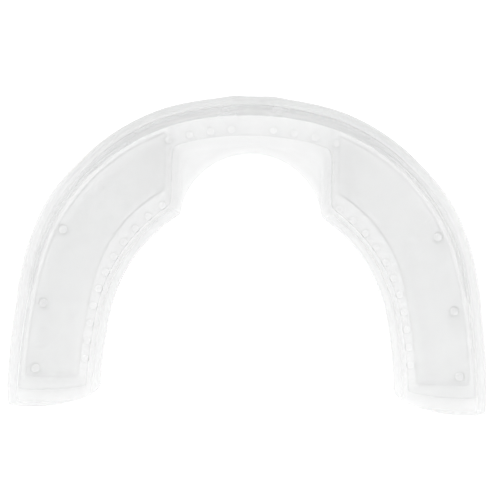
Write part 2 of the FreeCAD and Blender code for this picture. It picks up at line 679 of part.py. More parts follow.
def make_bite_pads():
    """The two molar cushions: the right one drawn, the left one its mirror image."""
    body = doc.addObject("PartDesign::Body", "bite_pad_right")
    body.Label = "bite_pad_right"
    outline = pad_profile(body, "pad_outline", cell("pad_base"))
    pad_of(body, "pad_sheet", outline, rise("web_top", "pad_base"))
    holes = circles_profile(body, "pad_peg_circles", cell("web_top"), PEG_PLACES, "peg_radius")
    pocket_of(body, "pad_peg_holes", holes)
    left = doc.addObject("Part::Mirroring", "bite_pad_left")
    left.Source = body
    left.Base = FreeCAD.Vector(0, 0, 0)
    left.Normal = FreeCAD.Vector(1, 0, 0)
    left.Label = "bite_pad_left"
    return [left, body]


nodes = [make_outer_tray(), make_shock_frame(), make_fit_liner(), make_labial_band()] + make_bite_pads()
doc.recompute()

for item in doc.Objects:
    if {"Invalid", "Error"} & set(item.State):
        raise RuntimeError("%s did not recompute: %s" % (item.Name, item.getStatusString()))
for node in nodes:
    if node.Shape.isNull() or not node.Shape.isValid() or not node.Shape.Solids:
        raise RuntimeError("%s has no valid solid" % node.Label)

os.makedirs("parts", exist_ok=True)
for node in nodes:
    node.Shape.exportStep("parts/%s.step" % node.Label)
    box = node.Shape.BoundBox
    print("%-18s %8.1f mm3  %d solid(s)  x %.2f..%.2f  y %.2f..%.2f  z %.2f..%.2f" % (
        node.Label, node.Shape.Volume, len(node.Shape.Solids), box.XMin, box.XMax, box.YMin, box.YMax,
        box.ZMin, box.ZMax))
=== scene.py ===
import math

import bmesh
import bpy
import numpy as np
from mathutils import Matrix, Vector


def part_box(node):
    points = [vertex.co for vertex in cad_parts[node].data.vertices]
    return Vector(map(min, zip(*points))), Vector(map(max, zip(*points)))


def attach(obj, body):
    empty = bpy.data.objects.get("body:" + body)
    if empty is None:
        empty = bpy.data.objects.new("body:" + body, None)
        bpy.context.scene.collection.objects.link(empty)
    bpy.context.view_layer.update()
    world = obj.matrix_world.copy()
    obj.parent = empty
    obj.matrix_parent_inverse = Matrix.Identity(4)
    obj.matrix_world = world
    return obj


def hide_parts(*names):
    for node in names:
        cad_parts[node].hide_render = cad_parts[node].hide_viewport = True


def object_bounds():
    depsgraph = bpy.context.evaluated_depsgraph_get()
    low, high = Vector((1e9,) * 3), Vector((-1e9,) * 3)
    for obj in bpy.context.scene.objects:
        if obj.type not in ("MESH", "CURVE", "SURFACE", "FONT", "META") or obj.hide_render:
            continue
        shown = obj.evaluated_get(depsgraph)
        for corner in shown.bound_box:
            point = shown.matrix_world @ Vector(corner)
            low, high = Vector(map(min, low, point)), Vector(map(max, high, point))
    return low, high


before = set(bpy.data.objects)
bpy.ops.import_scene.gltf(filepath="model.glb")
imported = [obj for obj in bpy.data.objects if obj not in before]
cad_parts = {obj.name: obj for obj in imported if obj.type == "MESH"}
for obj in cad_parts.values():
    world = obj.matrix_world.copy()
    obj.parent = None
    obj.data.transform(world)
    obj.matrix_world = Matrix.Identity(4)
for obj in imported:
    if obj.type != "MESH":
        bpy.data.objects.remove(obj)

CAD_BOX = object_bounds()

# ---------------------------------------------------------------------------------------------
# Driving sizes. Lengths are in millimetres while a shape is worked out, and metres in the mesh.
# ---------------------------------------------------------------------------------------------
MM = 0.001
HALF_WIDTH = CAD_BOX[1][0] / MM
HALF_LENGTH = CAD_BOX[1][1] / MM
CANINE_RIM = CAD_BOX[1][2] / MM
FRAME_LOW, FRAME_HIGH = (corner[2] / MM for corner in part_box("shock_frame"))
LINER_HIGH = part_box("fit_liner")[1][2] / MM
PAD_LOW, PAD_HIGH = (corner[2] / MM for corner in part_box("bite_pad_right"))
PAD_FRONT_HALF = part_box("bite_pad_right")[0][0] / MM
PAD_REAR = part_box("bite_pad_right")[0][1] / MM
BAND_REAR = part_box("labial_shock_band")[0][1] / MM
LAYER_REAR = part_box("shock_frame")[0][1] / MM

# Outer outline: three tangent arcs from the front centre to the rear corner.
FRONT_RADIUS, CORNER_RADIUS, SIDE_RADIUS = 44.3, 29.45, 92.0
# Tongue side of a leg: two tangent arcs.
LEG_REAR_HALF, LEG_SIDE_RADIUS, LEG_CORNER_RADIUS, LEG_CORNER_DEPTH = 20.5, 75.0, 21.2, 12.3
# Round tongue cut-out in front, and the foot of the wall that leans toward it.
NOTCH_RADIUS, NOTCH_CENTRE = 10.0, 4.0
TAB_FOOT_OFFSET, TAB_FOOT_HALF, TAB_THICKNESS = 4.5, 11.2, 1.3
# Rear end of a leg, and the run over which the ribs bend to it.
REAR_FLAT_REACH, REAR_EDGE_RADIUS, REAR_ROUND, REAR_BEND = 30.5, 21.0, 2.6, 12.0
# Thickness of the labial wall and of the flange on the tongue side, and how far outside a leg's
# tongue-side outline the flange's back foot and its channel-side foot lie.
WALL, FLANGE, FLANGE_LEAN, LAYER_EDGE = 1.1, 1.2, 0.8, 2.0
# A molar pad: its distance from the outer outline, and its width.
PAD_WALL_OFFSET, PAD_WIDTH = 1.8, 7.9
# Round holes of the frame, in one row along each leg and one across the front.
HOLE_RADIUS, HOLE_EDGE, HOLE_PITCH, LEG_HOLES, FIRST_HOLE_OFFSET = 0.5, 2.7, 2.5, 11, 1.3
FRONT_HOLE_OFFSET, FRONT_HOLE_PITCH, FRONT_HOLES = 3.5, 2.95, 4
PEG_RADIUS = 0.55
PEG_PLACES = ((26.4, 3.4), (28.9, -7.0), (29.8, -16.2))
# Gaps left between neighbouring layers, and around a pad, so that no two faces lie in one place.
GAP, PAD_GAP = 0.05, 0.12


def smooth(low, high, value):
    """0 below low, 1 above high, with an easy curve between."""
    t = np.clip((value - low) / (high - low), 0.0, 1.0)
    return t * t * (3 - 2 * t)


def mix(a, b, t):
    """a where t is 0, b where t is 1, and a straight blend between."""
    return a + (b - a) * t


# ---------------------------------------------------------------------------------------------
# The plan of the arch
# ---------------------------------------------------------------------------------------------
def meet(centre_a, radius_a, centre_b, radius_b, rightmost=True):
    """Where two circles cross: the crossing with the larger x, or the smaller y."""
    gap = math.dist(centre_a, centre_b)
    along = (radius_a ** 2 - radius_b ** 2 + gap ** 2) / (2 * gap)
    aside = math.sqrt(max(radius_a ** 2 - along ** 2, 0.0))
    ux, uy = (centre_b[0] - centre_a[0]) / gap, (centre_b[1] - centre_a[1]) / gap
    points = [(centre_a[0] + along * ux - side * aside * uy, centre_a[1] + along * uy + side * aside * ux)
              for side in (1, -1)]
    return max(points) if rightmost else min(points, key=lambda point: point[1])


FRONT_CENTRE = (0.0, HALF_LENGTH - FRONT_RADIUS)
SIDE_CENTRE = (HALF_WIDTH - SIDE_RADIUS, -HALF_LENGTH)
CORNER_CENTRE = meet(FRONT_CENTRE, FRONT_RADIUS - CORNER_RADIUS, SIDE_CENTRE, SIDE_RADIUS - CORNER_RADIUS)
FRONT_TURN = math.atan2(CORNER_CENTRE[0] - FRONT_CENTRE[0], CORNER_CENTRE[1] - FRONT_CENTRE[1])
SIDE_TURN = math.atan2(CORNER_CENTRE[0] - SIDE_CENTRE[0], CORNER_CENTRE[1] - SIDE_CENTRE[1])
FRONT_RUN = FRONT_RADIUS * FRONT_TURN
CORNER_RUN = CORNER_RADIUS * (SIDE_TURN - FRONT_TURN)
SIDE_RUN = SIDE_RADIUS * (math.pi / 2 - SIDE_TURN)
HALF_RUN = FRONT_RUN + CORNER_RUN + SIDE_RUN
LEG_SIDE_CENTRE = (LEG_REAR_HALF - LEG_SIDE_RADIUS, -HALF_LENGTH)
LEG_GAP = LEG_SIDE_RADIUS - LEG_CORNER_RADIUS
LEG_CORNER_CENTRE = (
    LEG_SIDE_CENTRE[0] + math.sqrt(LEG_GAP ** 2 - (HALF_LENGTH - LEG_CORNER_DEPTH) ** 2), -LEG_CORNER_DEPTH)


def rib(run):
    """The outer outline's point at a run from the front centre, and the inward direction there."""
    if run < FRONT_RUN:
        centre, radius, angle = FRONT_CENTRE, FRONT_RADIUS, run / FRONT_RADIUS
    elif run < FRONT_RUN + CORNER_RUN:
        centre, radius, angle = CORNER_CENTRE, CORNER_RADIUS, FRONT_TURN + (run - FRONT_RUN) / CORNER_RADIUS
    else:
        rest = run - FRONT_RUN - CORNER_RUN
        centre, radius, angle = SIDE_CENTRE, SIDE_RADIUS, SIDE_TURN + rest / SIDE_RADIUS
    outward = np.array([math.sin(angle), math.cos(angle)])
    return np.array(centre) + radius * outward, -outward


def reach(origin, direction, centre, radius, last):
    """The distance along a ray to a circle: the last crossing, or the first."""
    gap = origin - np.array(centre)
    half = float(gap @ direction)
    under = half * half - float(gap @ gap) + radius * radius
    if under < 0:
        return None
    return -half + (math.sqrt(under) if last else -math.sqrt(under))


def leg_reach(origin, direction, offset):
    """The distance along a rib to the leg's tongue-side outline, moved outward by an offset."""
    corner = reach(origin, direction, LEG_CORNER_CENTRE, LEG_CORNER_RADIUS + offset, last=False)
    side = reach(origin, direction, LEG_SIDE_CENTRE, LEG_SIDE_RADIUS + offset, last=False)
    turn_y = LEG_CORNER_CENTRE[1] + (LEG_CORNER_RADIUS + offset) * (HALF_LENGTH - LEG_CORNER_DEPTH) / LEG_GAP
    if corner is None or (origin + direction * corner)[1] < turn_y:
        return side
    return corner


# The least slope toward the middle that a rib counts with, so that nothing is divided by zero.
LEAST_SLOPE = 1e-6


def across(origin, direction, half):
    """The distance along a rib to the line x = half, very large where the rib runs along that line."""
    return (origin[0] - half) / max(-direction[0], LEAST_SLOPE)


def rib_widths(run):
    """Distances along a rib to the channel-side foot, the tongue-side foot and the tongue-side rim."""
    origin, inward = rib(run)
    leg_rim = leg_reach(origin, inward, 0.0)
    notch = reach(origin, inward, (0.0, NOTCH_CENTRE), NOTCH_RADIUS, last=False)
    rim = leg_rim if notch is None else min(notch, leg_rim)
    feet = []
    for half, front, leg in (
            (TAB_FOOT_HALF, TAB_FOOT_OFFSET, LAYER_EDGE),
            (TAB_FOOT_HALF - TAB_THICKNESS, TAB_FOOT_OFFSET + TAB_THICKNESS, FLANGE_LEAN)):
        bar = across(origin, inward, half)
        feet.append(float(np.clip(bar, front, leg_reach(origin, inward, leg))))
    return feet[0], feet[1], rim


def rear_edge(x):
    """How far forward of the rear line a leg's rear end lies at an x."""
    forward = REAR_EDGE_RADIUS - math.sqrt(REAR_EDGE_RADIUS ** 2 - min(x - REAR_FLAT_REACH, 0.0) ** 2)
    edge_centre = (REAR_FLAT_REACH, -HALF_LENGTH + REAR_EDGE_RADIUS)
    centre = meet(edge_centre, REAR_EDGE_RADIUS - REAR_ROUND, LEG_SIDE_CENTRE, LEG_SIDE_RADIUS + REAR_ROUND,
                  rightmost=False)
    start = centre[0] + (centre[0] - REAR_FLAT_REACH) * REAR_ROUND / (REAR_EDGE_RADIUS - REAR_ROUND)
    if x < start:
        step = min(centre[0] - x, REAR_ROUND)
        forward = centre[1] + HALF_LENGTH - math.sqrt(REAR_ROUND ** 2 - step ** 2)
    return forward


# Steps between ribs: the finest one beside a place, how much it grows, and over which stretch. The
# places are the corner of the tongue tab, the front centre and the rear end.
TAB_RUN, TAB_STEP, TAB_GROWTH, TAB_STRETCH = 15.0, 0.28, 0.62, 9.0
MIDDLE_STEP, MIDDLE_GROWTH, MIDDLE_STRETCH = 0.3, 0.6, 9.0
END_STEP, END_GROWTH, END_STRETCH, LAST_STEP = 0.32, 0.6, 8.0, 0.45


def stations():
    """Runs from the front centre to the rear, closer together where the shape changes faster."""
    runs, run = [0.0], 0.0
    while run < HALF_RUN - LAST_STEP:
        run += min(TAB_STEP + TAB_GROWTH * min(1.0, abs(run - TAB_RUN) / TAB_STRETCH),
                   MIDDLE_STEP + MIDDLE_GROWTH * run / MIDDLE_STRETCH,
                   END_STEP + END_GROWTH * max(HALF_RUN - run, 0.0) / END_STRETCH)
        runs.append(min(run, HALF_RUN))
    runs[-1] = HALF_RUN
    return np.array(runs)


RUNS = stations()


def eased(values, width):
    """A quantity along the arch, blurred over a short run so that corners come out slightly round."""
    mirror_runs = np.concatenate([-RUNS[:0:-1], RUNS])
    mirror_values = np.concatenate([values[:0:-1], values])
    weights = np.exp(-0.5 * ((RUNS[:, None] - mirror_runs[None, :]) / width) ** 2)
    weights *= np.gradient(mirror_runs)[None, :]
    return (weights @ mirror_values) / weights.sum(axis=1)


RIBS = [rib(run) for run in RUNS]
WIDTHS = np.array([rib_widths(run) for run in RUNS])
FOOT_BLUR, RIM_BLUR = 0.5, 0.25
FOOT, BACK_FOOT, RIM_REACH = (
    eased(WIDTHS[:, column], blur) for column, blur in enumerate((FOOT_BLUR, FOOT_BLUR, RIM_BLUR)))


def plan(index, distance):
    """The plan point at a distance inward on one rib; the last ribs bend to the curved rear end."""
    origin, inward = RIBS[index]
    x, y = origin + inward * distance
    bend = max(0.0, 1 - (HALF_RUN - RUNS[index]) / REAR_BEND) ** 2
    if bend > 0:
        y += bend * rear_edge(x)
    return x, y


# ---------------------------------------------------------------------------------------------
# Heights along the arch
# ---------------------------------------------------------------------------------------------
# Labial rim: its height at the rear end, then each rise on the way forward, as the y where it starts,
# the y where it ends, and its height.
REAR_RIM, HEEL_RISE, MOLAR_RISE, STEP_RISE = 8.6, 2.4, 1.3, 3.9
RIM_RISES = (
    (-HALF_LENGTH, -HALF_LENGTH + 3.2, HEEL_RISE),
    (-HALF_LENGTH + 2.0, -8.0, MOLAR_RISE),
    (-9.2, -4.4, STEP_RISE),
    (-4.6, 14.5, CANINE_RIM - REAR_RIM - HEEL_RISE - MOLAR_RISE - STEP_RISE))
# The rim's low stretch in front and the frenum notch in it, each with the half width that is full and
# the half width where it ends. Both come in over one stretch of y.
FRONT_RIM, FRONT_DIP_FULL, FRONT_DIP_HALF = 18.7, 8.6, 12.9
FRENUM_DEPTH, FRENUM_FULL, FRENUM_HALF = 2.0, 0.6, 3.4
FRONT_DIP_FADE = 10.0, 16.0
# Tongue-side rim on the legs, on the front tab and at the rear, and the run over which it runs out.
LEG_RIM, TAB_RIM, RUN_OUT_RIM, RUN_OUT = 7.6, 10.2, FRAME_LOW + 0.55, 9.5
TAB_FULL, TAB_HALF, TAB_FADE = 9.2, 12.5, (4.6, 8.4)
# Underside between the molar platforms.
RAISED_HEIGHT, RAISED_FULL, RAISED_HALF, RAISED_FADE = 1.8, 9.5, 12.0, (-2.0, 2.0)
# Slopes around the recess that a pad lies in, from and to, counted from the pad's edge.
WALL_SLOPE, TONGUE_SLOPE, FRONT_SLOPE, REAR_SLOPE = (-0.15, 0.1), (-0.1, 0.3), (-0.35, 0.0), (-0.4, 0.0)


def rim_height(x, y):
    """The labial rim: rising from the rear to the canines, lower in front, with the frenum notch."""
    height = REAR_RIM + sum(rise * smooth(start, end, y) for start, end, rise in RIM_RISES)
    dip = (CANINE_RIM - FRONT_RIM) * (1 - smooth(FRONT_DIP_FULL, FRONT_DIP_HALF, abs(x)))
    frenum = FRENUM_DEPTH * (1 - smooth(FRENUM_FULL, FRENUM_HALF, abs(x)))
    return height - (dip + frenum) * smooth(*FRONT_DIP_FADE, y)


def tongue_rim_height(index):
    """The tongue-side rim: high on the front tab, low on the legs, running out at the rear."""
    x, y = plan(index, RIM_REACH[index])
    height = mix(LEG_RIM, TAB_RIM, smooth(*TAB_FADE, y) * (1 - smooth(TAB_FULL, TAB_HALF, abs(x))))
    return mix(RUN_OUT_RIM, height, smooth(0.0, RUN_OUT, HALF_RUN - RUNS[index]))


def base_height(x, y):
    """The underside: flat molar platforms, raised in front between them."""
    return RAISED_HEIGHT * (1 - smooth(RAISED_FULL, RAISED_HALF, abs(x))) * smooth(*RAISED_FADE, y)


def past(edge, slope, value):
    """0 short of an edge and 1 past it, with a slope between two offsets from the edge."""
    return smooth(edge + slope[0], edge + slope[1], value)


def web_height(x, y, distance):
    """The channel side of the web: flat, with a recess that each molar pad lies in."""
    recess = past(PAD_WALL_OFFSET, WALL_SLOPE, distance)
    recess *= 1 - past(PAD_WALL_OFFSET + PAD_WIDTH, TONGUE_SLOPE, distance)
    recess *= past(PAD_FRONT_HALF, FRONT_SLOPE, abs(x)) * past(PAD_REAR, REAR_SLOPE, y)
    return FRAME_LOW - (FRAME_LOW - PAD_LOW) * recess


# ---------------------------------------------------------------------------------------------
# Mesh building
# ---------------------------------------------------------------------------------------------
def finished(name, shape, material):
    """A mesh object from a bmesh, with its normals turned outward."""
    bmesh.ops.recalc_face_normals(shape, faces=shape.faces)
    if shape.calc_volume(signed=True) < 0:
        bmesh.ops.reverse_faces(shape, faces=shape.faces)
    mesh = bpy.data.meshes.new(name)
    shape.to_mesh(mesh)
    shape.free()
    mesh.materials.append(material)
    piece = bpy.data.objects.new(name, mesh)
    bpy.context.scene.collection.objects.link(piece)
    return piece


def add_object(name, vertices, faces, material):
    """A smooth mesh object from millimetre vertices."""
    shape = bmesh.new()
    points = [shape.verts.new((x * MM, y * MM, z * MM)) for x, y, z in vertices]
    for face in faces:
        shape.faces.new([points[index] for index in face]).smooth = True
    return finished(name, shape, material)


def add_painted_shade(piece, values):
    """A number on each vertex that the material reads as painted shade: 0 is clear and lightest, 1 is
    cloudiest and darkest.
    """
    layer = piece.data.attributes.new("shade", "FLOAT", "POINT")
    layer.data.foreach_set("value", np.array(values, dtype=np.float32))


def subdivide(piece):
    """One level of subdivision, the same in the viewport and in the render."""
    modifier = piece.modifiers.new("subdivision", "SUBSURF")
    modifier.levels = modifier.render_levels = 1


# Lean of the high labial wall at its rim, the height where it starts, the stretch of y over which it
# comes in, its share at the middle of the front, and the half widths between which that share grows.
RIM_LEAN, LEAN_FOOT, LEAN_FADE = 0.42, 5.0, (6.0, 13.0)
MIDDLE_LEAN, MIDDLE_LEAN_FADE = 0.3, (1.0, 6.0)


def wall_lean(index, distance, height):
    """How far the high labial wall leans inward at a height: most at the canines, little at the middle."""
    if distance > 2 * WALL:
        return 0.0
    x, y = RIBS[index][0]
    share = smooth(*LEAN_FADE, y) * mix(MIDDLE_LEAN, 1.0, smooth(*MIDDLE_LEAN_FADE, abs(x)))
    return RIM_LEAN * smooth(LEAN_FOOT, CANINE_RIM, height) * share


def mirrored_ribs(count, section):
    """Sections on the first ribs of both halves, from the left rear to the right rear.

    section(index) gives two equal lists of (distance, height): the outer skin and the inner skin."""
    right = []
    for index in range(count):
        outer, inner = section(index)
        ring = []
        for distance, height in outer + inner[::-1]:
            x, y = plan(index, distance + wall_lean(index, distance, height))
            ring.append((x, y, height))
        right.append(ring)
    left = [[(-x, y, z) for x, y, z in ring] for ring in right[:0:-1]]
    return left + right


def skin_mesh(rings):
    """Faces for a run of equal rings: the sides, and at both ends a cap that pairs the two skins."""
    count = len(rings[0])
    vertices = [vertex for ring in rings for vertex in ring]
    faces = []
    for row in range(len(rings) - 1):
        for column in range(count):
            following = (column + 1) % count
            a, b = row * count + column, row * count + following
            faces.append((a, b, b + count, a + count))
    for row in (0, len(rings) - 1):
        start = row * count
        for step in range(count // 2 - 1):
            faces.append((start + step, start + step + 1, start + count - 2 - step, start + count - 1 - step))
    return vertices, faces


# Corners of the tray's section, as steps inward and upward from a face and a level.
OUTER_RIM = (0.36, 0.0), (0.09, -0.26), (0.0, -0.9)
INNER_RIM = (-0.34, 0.0), (-0.1, -0.26), (0.0, -0.9)
OUTER_FOOT = (0.02, 3.2), (0.16, 1.9), (0.62, 0.85), (1.4, 0.22)
INNER_FOOT = (0.0, 1.2), (0.02, 0.45), (0.12, 0.1), (0.36, 0.0)
OUTER_FLANGE_FOOT = (-0.5, 0.22), (-0.1, 0.75)
INNER_FLANGE_FOOT = (-0.14, 0.06), (-0.02, 0.3)
OUTER_FLANGE_RIM = (-0.06, -0.18), (-0.38, 0.0)
INNER_FLANGE_RIM = (0.06, -0.18), (0.38, 0.0)
# Even stretches between those corners: the wall, the underside, the web and the flange.
WALL_DROP, OUTER_WALL_END, INNER_WALL_END = 0.9, 3.2, 1.3
UNDERSIDE_NEAR, UNDERSIDE_FAR, WEB_NEAR, WEB_FAR = 2.2, 1.3, 0.58, 0.42
OUTER_FLANGE_START, INNER_FLANGE_START, FLANGE_DROP, FLANGE_CURVE = 1.5, 0.7, 0.5, 1.15
WALL_ROWS, FLOOR_ROWS, FLANGE_ROWS = 4, 24, 5
# A leg's rear end thins over this run, its underside rising and its web sinking.
REAR_EASE, REAR_LIFT, REAR_SINK = 2.2, 0.35, 0.45
# Columns of one skin: the first on the floor, the first on the flange, and how many there are.
FIRST_FLOOR = len(OUTER_RIM) + WALL_ROWS + len(OUTER_FOOT)
FIRST_FLANGE = FIRST_FLOOR + FLOOR_ROWS
SKIN_COLUMNS = FIRST_FLANGE + len(OUTER_FLANGE_FOOT) + FLANGE_ROWS + 1 + len(OUTER_FLANGE_RIM)


def corner(distance, height, steps):
    """The points of a section's rounded corner."""
    return [(distance + inward, height + upward) for inward, upward in steps]


def tray_section(index):
    """The tray's outer and inner skins on one rib, from the labial rim round to the tongue-side rim."""
    foot, back_foot, rim_reach = FOOT[index], BACK_FOOT[index], RIM_REACH[index]
    x, y = plan(index, 0.0)
    rim, tongue_rim = rim_height(x, y), tongue_rim_height(index)
    end = 1 - smooth(0.0, REAR_EASE, HALF_RUN - RUNS[index])
    lift, top = REAR_LIFT * end, FRAME_LOW - REAR_SINK * end
    low, flange_low = base_height(x, y) + lift, base_height(*plan(index, back_foot)) + lift
    outer, inner = corner(0.0, rim, OUTER_RIM), corner(WALL, rim, INNER_RIM)
    for row in range(1, WALL_ROWS + 1):
        t = row / (WALL_ROWS + 1)
        outer.append((0.0, mix(rim - WALL_DROP, low + OUTER_WALL_END, t)))
        inner.append((WALL, mix(rim - WALL_DROP, top + INNER_WALL_END, t)))
    outer += corner(0.0, low, OUTER_FOOT)
    inner += corner(WALL, top, INNER_FOOT)
    for row in range(FLOOR_ROWS):
        t = row / (FLOOR_ROWS - 1)
        under = mix(UNDERSIDE_NEAR, back_foot - UNDERSIDE_FAR, t)
        above = mix(WALL + WEB_NEAR, foot - WEB_FAR, t)
        outer.append((under, base_height(*plan(index, under)) + lift))
        inner.append((above, min(web_height(*plan(index, above), above), top)))
    outer += corner(back_foot, flange_low, OUTER_FLANGE_FOOT)
    inner += corner(foot, top, INNER_FLANGE_FOOT)
    for row in range(FLANGE_ROWS + 1):
        t = row / FLANGE_ROWS
        lean, high = t ** FLANGE_CURVE, tongue_rim - FLANGE_DROP
        outer.append((mix(back_foot, rim_reach, lean), mix(flange_low + OUTER_FLANGE_START, high, t)))
        inner.append((mix(foot, rim_reach - FLANGE, lean), mix(top + INNER_FLANGE_START, high, t)))
    outer += corner(rim_reach, tongue_rim, OUTER_FLANGE_RIM)
    inner += corner(rim_reach - FLANGE, tongue_rim, INNER_FLANGE_RIM)
    return outer, inner


# Painted shade on the web, carried into its tint and cloudiness: on a leg; where the leg nears the front,
# lower, as painted light against the shade of the high walls; behind the pad and at the very rear edge,
# higher, as painted shade on the rounded rear end; and in the middle of the front.
# Each fade is the stretch of y, or of the distance from the rear, over which the shade beside it gives way.
LEG_SHADE, LEG_FRONT_SHADE, HEEL_SHADE, EDGE_SHADE, MIDDLE_SHADE = 0.14, 0.05, 0.25, 0.42, 0.17
LEG_FADE, HEEL_FADE, EDGE_FADE = (-2.0, 14.0), (3.0, 6.0), (0.0, 1.4)
MIDDLE_SIDE_FADE, MIDDLE_FADE = (10.5, 13.0), (4.0, 9.0)
# The share of the web's width after which a leg's shade clears toward the tongue side, as painted light where
# the web meets the flange.
CLEARING = 0.6
# A cloudier line down the web at each end of the tongue tab.
LINE_SHADE, LINE_HALF, LINE_WIDTH, LINE_FADE = 0.08, 11.6, 0.7, (5.0, 8.0)
# The flange's foot at the rear, on a leg and in the middle, and the flange's rim on a leg and in the middle.
# The foot's low shade is painted light over the dark line where steep faces meet, and the rim's higher shade
# is painted shade along its edge.
FOOT_REAR_SHADE, FOOT_SHADE, FOOT_MIDDLE_SHADE, FOOT_FADE = 0.25, 0.03, 0.08, (0.0, 5.0)
FLANGE_SHADE, FLANGE_MIDDLE_SHADE = 0.44, 0.20
# Painted shade on the high labial wall, partly its cloudy body and partly the darkness of looking down its
# height: at the sides and in front, the heights over which it comes in, and the columns on its rim that carry
# a painted dark edge, darkest of all.
SIDE_SHADE, FRONT_SHADE, FRONT_FADE, WALL_FADE = 0.42, 0.63, (5.0, 18.0), (1.5, 7.0)
PAINTED_EDGE_COLUMNS = 2


def hump(value, centre, width):
    """1 at a centre, falling away over a width on both sides."""
    return math.exp(-((value - centre) / width) ** 2)


def tray_painted_shade(x, y, z, column):
    """The painted shade on the tray at a vertex, read as a darker tint and a cloudier skin: lightest beside a
    leg's flange, darkest on the front wall.
    """
    place = min(column, 2 * SKIN_COLUMNS - 1 - column)
    ahead = y + HALF_LENGTH
    front = smooth(*FRONT_FADE, y)
    middle = (1 - smooth(*MIDDLE_SIDE_FADE, abs(x))) * smooth(*MIDDLE_FADE, y)
    # A leg's web is painted lighter toward the front, as painted light against the shade of the high walls.
    leg = mix(LEG_SHADE, LEG_FRONT_SHADE, smooth(*LEG_FADE, y))
    leg = mix(leg, 0.0, smooth(FIRST_FLOOR + CLEARING * FLOOR_ROWS, FIRST_FLANGE, place))
    # The rear end is painted darker, most at its very edge: painted shade on the rounded end.
    heel = mix(EDGE_SHADE, HEEL_SHADE, smooth(*EDGE_FADE, ahead))
    value = mix(mix(heel, leg, smooth(*HEEL_FADE, ahead)), MIDDLE_SHADE, middle)
    value += LINE_SHADE * hump(abs(x), LINE_HALF, LINE_WIDTH) * smooth(*LINE_FADE, y)
    foot = mix(mix(FOOT_REAR_SHADE, FOOT_SHADE, smooth(*FOOT_FADE, ahead)), FOOT_MIDDLE_SHADE, middle)
    value = mix(value, foot, smooth(FIRST_FLANGE - 2, FIRST_FLANGE + 1, place))
    flange = mix(FLANGE_SHADE, FLANGE_MIDDLE_SHADE, middle)
    value = mix(value, flange, smooth(FIRST_FLANGE, SKIN_COLUMNS - 1, place))
    # The high wall gets painted shade, darkest in front.
    if place < FIRST_FLOOR:
        value = mix(value, mix(SIDE_SHADE, FRONT_SHADE, front), smooth(*WALL_FADE, z))
    # The outer columns of the front rim carry a painted dark edge, painted shade for the dark line along it.
    if column < PAINTED_EDGE_COLUMNS:
        value = mix(value, 1.0, front)
    return value


def make_tray(material):
    """The moulded body: web, labial wall, tongue-side walls and recesses for the pads."""
    rings = mirrored_ribs(len(RUNS), tray_section)
    tray = add_object("tray_body", *skin_mesh(rings), material)
    add_painted_shade(tray, [tray_painted_shade(*vertex, column) for ring in rings for column, vertex in enumerate(ring)])
    subdivide(tray)
    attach(tray, "root")
    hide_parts("outer_tray")


# ---------------------------------------------------------------------------------------------
# The layers that lie in the tray
# ---------------------------------------------------------------------------------------------
# The last rib that the frame and the liner reach, and the points of an outline across their rear end.
LAYER_LAST = int(np.searchsorted(RUNS, HALF_RUN - (LAYER_REAR + HALF_LENGTH)))
END_POINTS = 16


def layer_outline():
    """The closed outline of a layer on the web: round the right half from the front centre, then the left."""
    wall_side = [plan(index, WALL + 2 * GAP) for index in range(LAYER_LAST + 1)]
    tongue_side = [plan(index, FOOT[index] - 2 * GAP) for index in range(LAYER_LAST + 1)]
    near, far = WALL + 2 * GAP, FOOT[LAYER_LAST] - 2 * GAP
    end = [plan(LAYER_LAST, mix(near, far, t)) for t in np.linspace(0, 1, END_POINTS)[1:-1]]
    right = wall_side + end + tongue_side[::-1]
    return right + [(-x, y) for x, y in right[-2:0:-1]]


def hole_places():
    """Centres of the frame's round holes on the right half: along the leg, then across the front."""
    corner_reach, side_reach = LEG_CORNER_RADIUS + HOLE_EDGE, LEG_SIDE_RADIUS + HOLE_EDGE
    start = math.acos((TAB_FOOT_HALF + FIRST_HOLE_OFFSET - LEG_CORNER_CENTRE[0]) / corner_reach)
    turn = math.asin((LEG_CORNER_CENTRE[1] - LEG_SIDE_CENTRE[1]) / LEG_GAP)
    places = []
    for count in range(LEG_HOLES):
        run = count * HOLE_PITCH
        rest = run - (start - turn) * corner_reach
        centre, radius, angle = LEG_CORNER_CENTRE, corner_reach, start - run / corner_reach
        if rest > 0:
            centre, radius, angle = LEG_SIDE_CENTRE, side_reach, turn - rest / side_reach
        places.append((centre[0] + radius * math.cos(angle), centre[1] + radius * math.sin(angle)))
    for count in range(1, FRONT_HOLES + 1):
        x = count * FRONT_HOLE_PITCH
        radius = FRONT_RADIUS - FRONT_HOLE_OFFSET
        places.append((x, FRONT_CENTRE[1] + math.sqrt(radius ** 2 - x ** 2)))
    return places


def both_sides(places):
    """The right half's places with their mirror images, the left side first."""
    return [(side * x, y) for side in (-1, 1) for x, y in places]


CIRCLE_POINTS = 20


def circle(centre, radius):
    """The points of a circle, anticlockwise."""
    return [(centre[0] + radius * math.cos(a), centre[1] + radius * math.sin(a))
            for a in np.linspace(0, 2 * math.pi, CIRCLE_POINTS, endpoint=False)]


def softened(outline, spacing, blur):
    """A closed outline sampled evenly, with its corners rounded by a blur along it."""
    points = np.array(outline + outline[:1])
    runs = np.concatenate([[0.0], np.cumsum(np.linalg.norm(np.diff(points, axis=0), axis=1))])
    count = int(runs[-1] / spacing)
    places = np.arange(count) * runs[-1] / count
    even = np.stack([np.interp(places, runs, points[:, axis]) for axis in (0, 1)], axis=1)
    away = np.abs(places[:, None] - places[None, :])
    away = np.minimum(away, runs[-1] - away)
    weights = np.exp(-0.5 * (away / blur) ** 2)
    return weights @ even / weights.sum(axis=1)[:, None]


